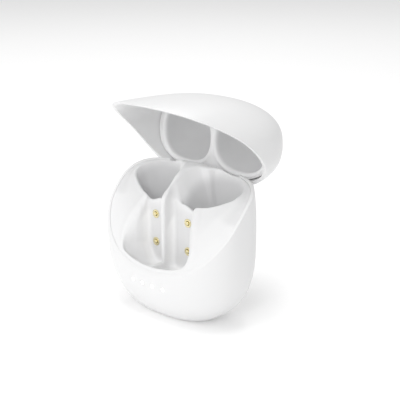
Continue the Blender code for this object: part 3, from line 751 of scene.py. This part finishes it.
def pocket(x, y, z):
    """Distance to the space of the right stem pocket."""
    side = pocket_side(y)
    lean = (pocket_side(y + POCKET_PROBE) - pocket_side(y - POCKET_PROBE)) / (2 * POCKET_PROBE)
    side = side - POCKET_NARROWING * (1 - smooth_step(POCKET_FLOOR, POCKET_NARROW_TO, z))
    outer = (x - side) / np.sqrt(1 + lean**2)
    space = smooth_max(outer, y - CONTACT_WALL_Y, POCKET_SIDE_ROUND)
    space = smooth_max(space, DIVIDER_HALF - x, POCKET_SIDE_ROUND)
    space = smooth_max(space, POCKET_FLOOR - z, POCKET_FLOOR_ROUND)
    return smooth_max(space, pocket_front(x, y, z), POCKET_FRONT_ROUND)


def joined_front(x, y, z):
    """Distance to the space in front of the divider, which joins the pockets above a low ridge."""
    space = np.maximum(x - JOINED_START, y - DIVIDER_FRONT)
    return np.maximum(np.maximum(space, pocket_front(x, y, z)), RIDGE_HEIGHT - z)


def channel(x, y, z):
    """Distance to the block that the pockets are sunk into."""
    side = (x - np.interp(y, CHANNEL_SIDE_Y, CHANNEL_SIDE_X)) / CHANNEL_LEAN
    return np.maximum(side, np.maximum(y - CHANNEL_BACK, POCKET_FLOOR - CHANNEL_WALL - z))


def box_distance(x, y, z, low, high):
    """Distance to a box between two corners."""
    middle = (np.array(low) + np.array(high)) / 2
    half = (np.array(high) - np.array(low)) / 2
    gaps = [np.abs(value - middle[k]) - half[k] for k, value in enumerate((x, y, z))]
    return np.maximum(np.maximum(gaps[0], gaps[1]), gaps[2])


def about_pin(y, z):
    return np.hypot(y - HINGE_Y, z - HINGE_Z)


def deck_distance(x, y, z):
    """Distance above the deck."""
    top = deck_height(x, y)
    rise_x, rise_y = deck_height(x + DECK_PROBE, y) - top, deck_height(x, y + DECK_PROBE) - top
    slope = np.hypot(rise_x, rise_y) / DECK_PROBE
    return (z - top) / np.sqrt(1 + np.minimum(slope, DECK_STEEPEST) ** 2)


def space_edge(x, y, deck):
    """Radius of the edge around the open space. It is larger on the outer side of the pockets."""
    outer = smooth_step(*SOFTER_FROM_X, x) * (1 - smooth_step(*SOFTER_TO_Y, y))
    outer = outer * smooth_step(*SOFTER_FROM_Y, y) * smooth_step(*SOFTER_DEPTH, deck)
    return SPACE_EDGE_ROUND + POCKET_EDGE_SOFTER * outer


def cradle_field(x, y, z):
    x = np.abs(x)
    deck = deck_distance(x, y, z)
    well = smooth_max(well_distance(x, y, z), WELL_BOTTOM - z, WELL_FLOOR_ROUND)
    skin = np.abs(deck + SKIN / 2) - SKIN / 2
    body = smooth_min(skin, well - WELL_SKIN, WELL_TO_DECK)
    ribs = np.minimum(channel(x, y, z), box_distance(x, y, z, *SPINE_BOX))
    body = smooth_min(body, ribs, RIBS_TO_DECK)
    body = smooth_max(body, deck, DECK_ROUND)
    body = smooth_max(body, as_distance(form_ratio(CRADLE_INSET), x, y, z), RIM_ROUND)
    body = shape_hinge_side(body, x, y, z)
    space = smooth_min(pocket(x, y, z), joined_front(x, y, z), POCKETS_TOGETHER)
    space = smooth_min(space, well, POCKET_TO_WELL)
    space = smooth_max(space, pocket_front(x, y, z), SPACE_FRONT_ROUND)
    body = smooth_max(body, -space, space_edge(x, y, deck))
    body = np.maximum(body, -box_distance(x, y, z, *CRADLE_MAGNET_SEAT))
    for height in CONTACT_HEIGHTS.values():
        hole = np.hypot(x - CONTACT_X, z - height) - CONTACT_HOLE_RADIUS
        hole = np.maximum(hole, np.abs(y - CONTACT_WALL_Y) - CONTACT_HOLE_REACH)
        body = np.maximum(body, -hole)
    return body


def shape_hinge_side(body, x, y, z):
    """Room for the lid's barrel, and the rounded cheeks that fill the opening in the back wall."""
    notch = np.maximum(np.maximum(x - NOTCH_HALF, NOTCH_FRONT - y), NOTCH_BOTTOM - z)
    opening = np.maximum(np.maximum(x - CHEEK_START, LAND_BACK - y), ROOM_BOTTOM - z)
    clearance = np.maximum(about_pin(y, z) - BARREL_RADIUS - BARREL_CLEARANCE, x - CHEEK_START)
    body = smooth_max(body, -notch, HINGE_ROUND)
    body = smooth_max(body, -np.minimum(opening, clearance), HINGE_ROUND)
    along = np.clip((x - CHEEK_START) / (CHEEK_END - CHEEK_START), 0, 1)
    radius = CHEEK_RADII[0] + (CHEEK_RADII[1] - CHEEK_RADII[0]) * along
    ends = np.maximum(CHEEK_START - x, x - CHEEK_END)
    cheek = smooth_max(about_pin(y, z) - radius, ends, CHEEK_ROUND)
    backing = np.maximum(CHEEK_BACKING_Y[0] - y, y - CHEEK_BACKING_Y[1])
    backing = np.maximum(np.maximum(backing, ends), np.maximum(CHEEK_BACKING_BOTTOM - z, z - HINGE_Z))
    return smooth_min(body, np.minimum(cheek, backing), CHEEK_TO_BODY)


def make_cradle():
    shape = surface_of(cradle_field, *CRADLE_REACH)
    add_piece("cradle_moulding", *shape, "base", "cradle", "cradle_white", MOULD_SHARP)


# Lid liner.


def dome_ratio(x, y, z):
    """Field that is 0 on the dome over a bud, and below 0 inside it."""
    half_x, half_y, half_z = DOME_HALF
    plan = (np.abs(x - DOME_X) / half_x) ** DOME_POWER + (np.abs(y - DOME_Y) / half_y) ** DOME_POWER
    rise = np.maximum(z - CEILING, 0) / half_z
    return np.sqrt(plan ** (2 / DOME_POWER) + rise**2) - 1


def liner_field(x, y, z):
    """The plate with its two domes, the boss for the magnet and the hinge barrel. Edges are softer by the
    plate, and sharper above it, where the walls are thin."""
    x = np.abs(x)
    form = as_distance(form_ratio(INNER_INSET), x, y, z)
    dome = as_distance(dome_ratio, x, y, z)
    plate = np.maximum(CEILING - z, z - CEILING - LINER_WALL)
    shell = np.maximum(dome - LINER_WALL, CEILING - z)
    body = smooth_min(plate, shell, PLATE_TO_DOME)
    body = smooth_min(body, box_distance(x, y, z, *BOSS_BOX), BOSS_TO_PLATE)
    near_plate = 1 - smooth_step(CEILING + NEAR_PLATE[0], CEILING + NEAR_PLATE[1], z)
    form = form - THIN_OFFSET * (1 - near_plate)
    body = smooth_max(body, form, THIN_ROUND + PLATE_EDGE_SOFTER * near_plate)
    barrel = smooth_max(about_pin(y, z) - BARREL_RADIUS, x - BARREL_HALF, BARREL_ROUND)
    barrel = smooth_min(barrel, box_distance(x, y, z, *ARM_BOX), BARREL_TO_ARM)
    body = smooth_min(body, barrel, ARM_TO_BODY)
    body = smooth_max(body, -dome, THIN_ROUND + DOME_EDGE_SOFTER * near_plate)
    body = np.maximum(body, -box_distance(x, y, z, *LINER_MAGNET_SEAT))
    return np.maximum(body, PIN_RADIUS + PIN_CLEARANCE - about_pin(y, z))


def make_lid_liner():
    points, faces = surface_of(liner_field, *LINER_REACH)
    add_piece("lid_lining", opened(points), faces, "lid", "lid_liner", "liner_white", MOULD_SHARP)


# Small parts.


def contact_places():
    places = []
    for side, sign in (("left", -1), ("right", 1)):
        for row, height in CONTACT_HEIGHTS.items():
            places.append((f"{side}_{row}", (sign * CONTACT_X, CONTACT_WALL_Y, height)))
    return places


# Contact springs. Distances along y are from the face of the contact wall.
SPRING_TURNS = 3
SPRING_STEPS = 24
WIRE_STEPS = 10
SPRING_START = 0.42
SPRING_END = 0.93
SPRING_RADIUS = 0.42
SPRING_WIRE = 0.07

# Barrel of a contact with its rounded ring, as (radius, y from the face of the wall).
BARREL_PROFILE = [
    (0, 1.25),
    (0.8, 1.25),
    (0.85, 1.2),
    (0.85, -0.04),
    (1.22, -0.04),
    (1.26, -0.08),
    (1.25, -0.15),
    (1.19, -0.21),
    (1.08, -0.25),
    (0.76, -0.25),
    (0.66, -0.19),
    (0.62, -0.1),
    (0.62, 1.05),
    (0, 1.05),
]


PIN_FOOT = [(0, 0.3), (0.52, 0.3), (0.56, 0.26)]
PIN_NOSE_RADIUS = 0.56
PIN_NOSE_START = -0.42
PIN_NOSE_LENGTH = 0.27


def plunger_profile():
    """Round-nosed pin."""
    nose = []
    for turn in np.radians(range(0, 90, 9)):
        nose.append((PIN_NOSE_RADIUS * math.cos(turn), PIN_NOSE_START - PIN_NOSE_LENGTH * math.sin(turn)))
    return PIN_FOOT + nose + [(0, PIN_NOSE_START - PIN_NOSE_LENGTH)]


def coil(face):
    """Wire coil between the plunger and the bottom of the barrel."""
    count = SPRING_TURNS * SPRING_STEPS
    around_wire = 2 * math.pi * np.arange(WIRE_STEPS) / WIRE_STEPS
    reach = SPRING_RADIUS + SPRING_WIRE * np.cos(around_wire)
    rings = []
    for k in range(count + 1):
        turn = 2 * math.pi * k / SPRING_STEPS
        along = face[1] + SPRING_START + (SPRING_END - SPRING_START) * k / count
        at_x = face[0] + reach * math.cos(turn)
        at_z = face[2] + reach * math.sin(turn)
        rings.append(np.column_stack([at_x, along + SPRING_WIRE * np.sin(around_wire), at_z]))
    return loft(rings, close_first=True, close_last=True)


def make_contacts():
    for name, face in contact_places():
        spring = add_piece(f"contact_spring_{name}", *coil(face), "base", f"pin_spring_{name}", "steel")
        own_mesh(spring)
        barrel = turned(BARREL_PROFILE, face)
        add_piece(f"contact_ring_{name}", *barrel, "base", f"pin_barrel_{name}", "gold")
        pin = turned(plunger_profile(), face)
        add_piece(f"contact_pin_{name}", *pin, f"plunger_{name}", f"pin_plunger_{name}", "gold")


# Rounded end of a light guide, as (radius, depth below the casing's surface).
WINDOW_END = [(0.15, 0.01), (0.3, 0.01), (0.45, 0.01), (0.54, 0.025), (0.585, 0.06), (WINDOW_RADIUS, 0.11)]


def make_windows():
    """Light guides whose ends follow the casing's surface."""
    turns = 2 * math.pi * np.arange(WINDOW_STEPS) / WINDOW_STEPS
    for number, x in enumerate(light_places(), 1):
        rings = []
        for radius, sink in WINDOW_END:
            at_x = x + radius * np.cos(turns)
            at_z = LIGHT_HEIGHT + radius * np.sin(turns)
            rings.append(np.column_stack([at_x, form_front(at_x, at_z) + sink, at_z]))
        back = rings[-1].copy()
        back[:, 1] = WINDOW_BACK
        shape = loft(rings + [back], close_first=True, close_last=True)
        add_piece(f"light_guide_{number}", *shape, "base", f"led_window_{number}", "lens")


# Materials. A slot's material is made once. Roughness and colour pairs are the ends of a variation.

# Noises, as (cycles per mm, detail).
TONE_NOISE = (0.06, 2.0)
GLOSS_NOISE = (0.35, 3.0)
GRAIN_NOISE = (9.0, 2.0)
GRAIN_DEPTH = 0.01
# Bump strengths of the outer and inner plastics.
SHELL_TEXTURE = 0.12
INNER_TEXTURE = 0.15

SHELL_TONES = ((0.79, 0.79, 0.792), (0.81, 0.81, 0.812))
SHELL_GLOSS = (0.33, 0.43)
SHELL_COAT = 0.1
SHELL_COAT_ROUGHNESS = 0.2

DECK_TONES = ((0.79, 0.79, 0.793), (0.815, 0.815, 0.818))
DECK_GLOSS = (0.37, 0.47)
# Painted shade: the wells are darker, as if in shadow. They are also rougher.
WELL_PAINTED_SHADE = (0.61, 0.61, 0.615)
WELL_ROUGHER = 0.3
# Painted light: the contact walls are lighter, as if more brightly lit.
CONTACT_WALL_PAINTED_LIGHT = (0.92, 0.92, 0.92)
# Where the cradle's tones change, for the painted shade in the wells and the painted light on the contact
# walls, along y or in depth below the parting surface.
WELLS_FROM_Y = (-1.6, -0.4)
WELLS_TO_Y = (11.0, 11.8)
WELLS_DEPTH = (-1.5, 2.5)
CONTACT_WALL_FROM_Y = (-4.8, -2.2)
CONTACT_WALL_DEPTH = (0.3, 3.0)

# Painted light: the ribs are lighter than the other plastic, as if more brightly lit; the two tones also
# vary at random.
RIB_TONES_AND_PAINTED_LIGHT = ((0.88, 0.88, 0.882), (0.9, 0.9, 0.902))
RIB_GLOSS = (0.36, 0.46)
# Painted shade: the domes are darker, as if in shadow.
DOME_PAINTED_SHADE = (0.74, 0.74, 0.744)
DOME_FROM = (CEILING + 0.3, CEILING + 1.5)

# Two colours, roughness, cycles per mm, and the stretch of the noise along each axis.
METALS = {
    "gold": ((0.72, 0.64, 0.37), (0.86, 0.78, 0.5), 0.2, 3.0, (1, 1, 1)),
    "steel": ((0.56, 0.56, 0.58), (0.68, 0.68, 0.7), 0.32, 4.0, (0.3, 3, 3)),
    "magnet_nickel": ((0.66, 0.66, 0.66), (0.78, 0.78, 0.77), 0.2, 1.2, (1, 1, 1)),
}
# Two colours, roughness, cycles per mm and bump strength.
MATT = {
    "black_resin": ((0.02, 0.02, 0.023), (0.05, 0.05, 0.055), 0.45, 6.0, 0.2),
    "foam": ((0.08, 0.08, 0.08), (0.17, 0.17, 0.17), 0.92, 3.0, 0.9),
    "ferrite": ((0.08, 0.075, 0.075), (0.16, 0.15, 0.15), 0.6, 5.0, 0.4),
    "led_chip": ((0.85, 0.82, 0.5), (0.95, 0.93, 0.7), 0.4, 4.0, 0.1),
}


def new_material(name, color, roughness, metallic=0.0):
    made = bpy.data.materials.new(name)
    made.use_nodes = True
    shader = made.node_tree.nodes["Principled BSDF"]
    shader.inputs["Base Color"].default_value = (*color, 1.0)
    shader.inputs["Roughness"].default_value = roughness
    shader.inputs["Metallic"].default_value = metallic
    return made, made.node_tree, shader


def add_place(tree, stretch=(1, 1, 1)):
    """A shaded point in mm, in the object's own axes, stretched along each axis."""
    place = tree.nodes.new("ShaderNodeTexCoord")
    mapping = tree.nodes.new("ShaderNodeMapping")
    mapping.inputs["Scale"].default_value = tuple(value / MM for value in stretch)
    tree.links.new(place.outputs["Object"], mapping.inputs["Vector"])
    return mapping.outputs["Vector"]


def add_noise(tree, scale, detail, stretch=(1, 1, 1)):
    noise = tree.nodes.new("ShaderNodeTexNoise")
    noise.inputs["Scale"].default_value = scale
    noise.inputs["Detail"].default_value = detail
    tree.links.new(add_place(tree, stretch), noise.inputs["Vector"])
    return noise.outputs["Fac"]


def ramp_between(tree, value, low, high):
    spread = tree.nodes.new("ShaderNodeMapRange")
    spread.inputs["To Min"].default_value = low
    spread.inputs["To Max"].default_value = high
    tree.links.new(value, spread.inputs["Value"])
    return spread.outputs["Result"]


def add_band(tree, value, low, high):
    """Smooth rise from 0 to 1 between two levels of a value."""
    spread = tree.nodes.new("ShaderNodeMapRange")
    spread.interpolation_type = "SMOOTHSTEP"
    spread.inputs["From Min"].default_value = low
    spread.inputs["From Max"].default_value = high
    tree.links.new(value, spread.inputs["Value"])
    return spread.outputs["Result"]


def add_math(tree, operation, first, second, third=0.0):
    node = tree.nodes.new("ShaderNodeMath")
    node.operation = operation
    for socket, value in zip(node.inputs, (first, second, third)):
        if isinstance(value, (int, float)):
            socket.default_value = value
        else:
            tree.links.new(value, socket)
    return node.outputs["Value"]


def mixed(tree, share, first, second):
    """Colour between two colours, either of which may be another node's output."""
    mix = tree.nodes.new("ShaderNodeMix")
    mix.data_type = "RGBA"
    tree.links.new(share, mix.inputs["Factor"])
    for socket, value in zip([s for s in mix.inputs if s.type == "RGBA"], (first, second)):
        if isinstance(value, tuple):
            socket.default_value = (*value, 1)
        else:
            tree.links.new(value, socket)
    return next(s for s in mix.outputs if s.type == "RGBA")


def add_bump(tree, shader, height, strength, distance):
    bump = tree.nodes.new("ShaderNodeBump")
    bump.inputs["Strength"].default_value = strength
    bump.inputs["Distance"].default_value = distance * MM
    tree.links.new(height, bump.inputs["Height"])
    tree.links.new(bump.outputs["Normal"], shader.inputs["Normal"])


def vary(tree, shader, noise, tones, gloss):
    """Colour and roughness that follow one noise."""
    tree.links.new(mixed(tree, noise, *tones), shader.inputs["Base Color"])
    tree.links.new(ramp_between(tree, noise, *gloss), shader.inputs["Roughness"])


def glow(shader, strength):
    shader.inputs["Emission Color"].default_value = (1, 1, 1, 1)
    shader.inputs["Emission Strength"].default_value = strength


def new_plastic(name, tones, gloss, texture):
    """Moulded plastic with a very fine grain. It comes with a broad, faint change of tone and an uneven
    gloss, which the caller links to the shader."""
    made, tree, shader = new_material(name, tones[0], sum(gloss) / 2)
    tone = mixed(tree, add_noise(tree, *TONE_NOISE), *tones)
    uneven = ramp_between(tree, add_noise(tree, *GLOSS_NOISE), *gloss)
    add_bump(tree, shader, add_noise(tree, *GRAIN_NOISE), texture, GRAIN_DEPTH)
    return made, tree, shader, tone, uneven


def across_and_up(tree):
    """The y and z of a shaded point in mm, in the object's own axes."""
    place = tree.nodes.new("ShaderNodeTexCoord")
    split = tree.nodes.new("ShaderNodeSeparateXYZ")
    tree.links.new(place.outputs["Object"], split.inputs["Vector"])
    return (add_math(tree, "DIVIDE", split.outputs[axis], MM) for axis in "YZ")


def shell_plastic():
    """Satin plastic with a thin clear coat."""
    made, tree, shader, tone, gloss = new_plastic("shell_white", SHELL_TONES, SHELL_GLOSS, SHELL_TEXTURE)
    tree.links.new(tone, shader.inputs["Base Color"])
    tree.links.new(gloss, shader.inputs["Roughness"])
    shader.inputs["Coat Weight"].default_value = SHELL_COAT
    shader.inputs["Coat Roughness"].default_value = SHELL_COAT_ROUGHNESS
    return made


def cradle_plastic():
    """Satin on the deck, lighter on the contact walls by painted light, and darker by painted shade and
    matt in the wells.
    """
    made, tree, shader, deck, gloss = new_plastic("cradle_white", DECK_TONES, DECK_GLOSS, INNER_TEXTURE)
    y, z = across_and_up(tree)
    slope = add_math(tree, "MULTIPLY_ADD", y, -PART_BEND, PART_SLOPE)
    depth = add_math(tree, "SUBTRACT", add_math(tree, "MULTIPLY_ADD", slope, y, PART_HEIGHT), z)
    behind = add_band(tree, y, *WELLS_FROM_Y)
    inside = add_math(tree, "SUBTRACT", behind, add_band(tree, y, *WELLS_TO_Y))
    in_well = add_math(tree, "MULTIPLY", inside, add_band(tree, depth, *WELLS_DEPTH))
    at_wall = add_math(tree, "SUBTRACT", add_band(tree, y, *CONTACT_WALL_FROM_Y), behind)
    on_wall = add_math(tree, "MULTIPLY", at_wall, add_band(tree, depth, *CONTACT_WALL_DEPTH))
    # Painted shade darkens the wells, and painted light lightens the contact walls.
    color = mixed(tree, in_well, mixed(tree, on_wall, deck, CONTACT_WALL_PAINTED_LIGHT), WELL_PAINTED_SHADE)
    tree.links.new(color, shader.inputs["Base Color"])
    rough = add_math(tree, "MULTIPLY_ADD", in_well, WELL_ROUGHER, gloss)
    tree.links.new(rough, shader.inputs["Roughness"])
    return made


def liner_plastic():
    """Ribs lighter by painted light and domes darker by painted shade, told apart by the height they have
    in the closed lid.
    """
    made, tree, shader, ribs, gloss = new_plastic("liner_white", RIB_TONES_AND_PAINTED_LIGHT, RIB_GLOSS, INNER_TEXTURE)
    y, z = across_and_up(tree)
    sine, cosine = math.sin(math.radians(OPEN_ANGLE)), math.cos(math.radians(OPEN_ANGLE))
    above = HINGE_Z - HINGE_Y * sine - HINGE_Z * cosine
    closed_z = add_math(tree, "MULTIPLY_ADD", y, sine, add_math(tree, "MULTIPLY_ADD", z, cosine, above))
    in_dome = add_band(tree, closed_z, *DOME_FROM)
    # Painted shade darkens the domes; the ribs keep their lighter, painted-light tone.
    tree.links.new(mixed(tree, in_dome, ribs, DOME_PAINTED_SHADE), shader.inputs["Base Color"])
    tree.links.new(gloss, shader.inputs["Roughness"])
    return made


def worn_metal(name, first, second, roughness, scale, stretch):
    made, tree, shader = new_material(name, first, roughness, 1.0)
    grain = add_noise(tree, scale, 4.0, stretch)
    vary(tree, shader, grain, (first, second), (roughness - 0.08, roughness + 0.1))
    add_bump(tree, shader, grain, 0.15, GRAIN_DEPTH)
    return made


def grainy(name, first, second, roughness, scale, strength):
    """Matt material with a fine grain."""
    made, tree, shader = new_material(name, first, roughness)
    grain = add_noise(tree, scale, 5.0)
    vary(tree, shader, grain, (first, second), (roughness - 0.08, roughness + 0.08))
    add_bump(tree, shader, grain, strength, 0.04)
    return made


def milky_lens():
    """Light guide, faintly lit from inside."""
    made, tree, shader = new_material("lens", (0.97, 0.97, 0.97), 0.22)
    cloud = add_noise(tree, 2.0, 2.0)
    tree.links.new(mixed(tree, cloud, (0.95, 0.95, 0.95), (1, 1, 1)), shader.inputs["Base Color"])
    add_bump(tree, shader, cloud, 0.1, GRAIN_DEPTH)
    glow(shader, 0.35)
    return made


def board_green():
    """Solder mask with faint copper tracks under it."""
    made, tree, shader = new_material("board_green", (0.03, 0.16, 0.07), 0.38)
    bricks = tree.nodes.new("ShaderNodeTexBrick")
    bricks.inputs["Color1"].default_value = (0.03, 0.17, 0.08, 1)
    bricks.inputs["Color2"].default_value = (0.02, 0.13, 0.06, 1)
    bricks.inputs["Mortar"].default_value = (0.06, 0.28, 0.13, 1)
    bricks.inputs["Scale"].default_value = 0.9
    bricks.inputs["Mortar Size"].default_value = 0.03
    tree.links.new(add_place(tree), bricks.inputs["Vector"])
    tree.links.new(bricks.outputs["Color"], shader.inputs["Base Color"])
    add_bump(tree, shader, bricks.outputs["Fac"], 0.3, 0.03)
    return made


def crinkled_foil():
    """Laminate of the battery pouch."""
    made, tree, shader = new_material("battery_foil", (0.72, 0.73, 0.75), 0.3, 0.9)
    crinkle = add_noise(tree, 0.5, 4.0)
    vary(tree, shader, crinkle, ((0.66, 0.67, 0.69), (0.8, 0.81, 0.83)), (0.2, 0.42))
    add_bump(tree, shader, crinkle, 0.6, 0.15)
    return made


OWN_LOOKS = {
    "shell_white": shell_plastic,
    "cradle_white": cradle_plastic,
    "liner_white": liner_plastic,
    "lens": milky_lens,
    "board_green": board_green,
    "battery_foil": crinkled_foil,
}
LOOKS = {}


def look(slot):
    """The material of a slot."""
    if slot not in LOOKS:
        if slot in METALS:
            LOOKS[slot] = worn_metal(slot, *METALS[slot])
        elif slot in MATT:
            LOOKS[slot] = grainy(slot, *MATT[slot])
        else:
            LOOKS[slot] = OWN_LOOKS[slot]()
    return LOOKS[slot]


def dress_cad_nodes():
    """Materials for the CAD nodes that stay."""
    for entry in frame["record"]["subparts"]:
        node = frame["nodes"][entry["node"]]
        if node.hide_render:
            continue
        node.data.materials.clear()
        node.data.materials.append(look(entry["material_slot"]))


# Stage.

# Softboxes, as a direction from the object (image right, world up, towards the camera), then the distance
# and diameter in metres and the power in watts.
LIGHTS = {
    "top": ((0, 1, 0), 0.8, 0.4, 2.0),
    "key": ((-0.6, 0.7, 0.5), 0.75, 0.6, 0.5),
    "left": ((-0.9, 0.35, 0.1), 0.8, 0.8, 0.85),
    "front": ((-0.32, 0.18, 0.92), 0.8, 0.3, 1.36),
    "back": ((0, 0.75, -0.65), 0.8, 0.35, 0.6),
}
LIGHTS_AIM = Vector((0, 0, 0.03))
WORLD_STRENGTH = 0.6
FLOOR_HALF = 4.0
FLOOR_DROP = 0.0001
FLOOR_TONE = (0.93, 0.93, 0.93)
FLOOR_GLOW = 0.12


def directions():
    """Image right, image up and the way back to the camera."""
    azimuth, elevation = math.radians(CAMERA_AZIMUTH), math.radians(CAMERA_ELEVATION)
    flat = math.cos(elevation)
    back = Vector((math.sin(azimuth) * flat, -math.cos(azimuth) * flat, math.sin(elevation)))
    right = Vector((math.cos(azimuth), math.sin(azimuth), 0))
    return right, back.cross(right), back


def make_camera():
    right, up, back = directions()
    data = bpy.data.cameras.new("camera")
    data.lens = LENS
    data.sensor_width = SENSOR_WIDTH
    data.clip_start = 0.01
    camera = bpy.data.objects.new("camera", data)
    bpy.context.scene.collection.objects.link(camera)
    aim = Vector((0, 0, AIM_DROP)) + right * AIM_RIGHT + up * AIM_UP
    camera.location = (aim + back * CAMERA_DISTANCE) * MM
    camera.rotation_mode = "QUATERNION"
    camera.rotation_quaternion = (-back).to_track_quat("-Z", "Y")
    bpy.context.scene.camera = camera


def make_floor():
    mesh = bpy.data.meshes.new("floor")
    corners = [(x * FLOOR_HALF, y * FLOOR_HALF, 0) for x, y in ((-1, -1), (1, -1), (1, 1), (-1, 1))]
    mesh.from_pydata(corners, [], [(0, 1, 2, 3)])
    made, _, shader = new_material("floor", FLOOR_TONE, 0.6)
    glow(shader, FLOOR_GLOW)
    mesh.materials.append(made)
    floor = bpy.data.objects.new("floor", mesh)
    floor.location = (0, 0, -FLOOR_DROP)
    bpy.context.scene.collection.objects.link(floor)


def add_light(name, way, distance, size, power):
    right, _, back = directions()
    way = (right * way[0] + Vector((0, 0, 1)) * way[1] + back * way[2]).normalized()
    place = LIGHTS_AIM + way * distance
    data = bpy.data.lights.new(name, "AREA")
    data.shape = "DISK"
    data.size = size
    data.energy = power
    light = bpy.data.objects.new(name, data)
    light.location = place
    light.rotation_mode = "QUATERNION"
    light.rotation_quaternion = (LIGHTS_AIM - place).to_track_quat("-Z", "Y")
    bpy.context.scene.collection.objects.link(light)


def make_lights():
    world = bpy.data.worlds.new("studio")
    world.use_nodes = True
    background = world.node_tree.nodes["Background"]
    background.inputs["Color"].default_value = (1, 1, 1, 1)
    background.inputs["Strength"].default_value = WORLD_STRENGTH
    bpy.context.scene.world = world
    bpy.context.scene.view_settings.view_transform = "Standard"
    for name, values in LIGHTS.items():
        add_light(name, *values)


make_base_shell()
make_cradle()
make_lid_shell()
make_lid_liner()
make_contacts()
make_windows()
dress_cad_nodes()
make_camera()
make_floor()
make_lights()
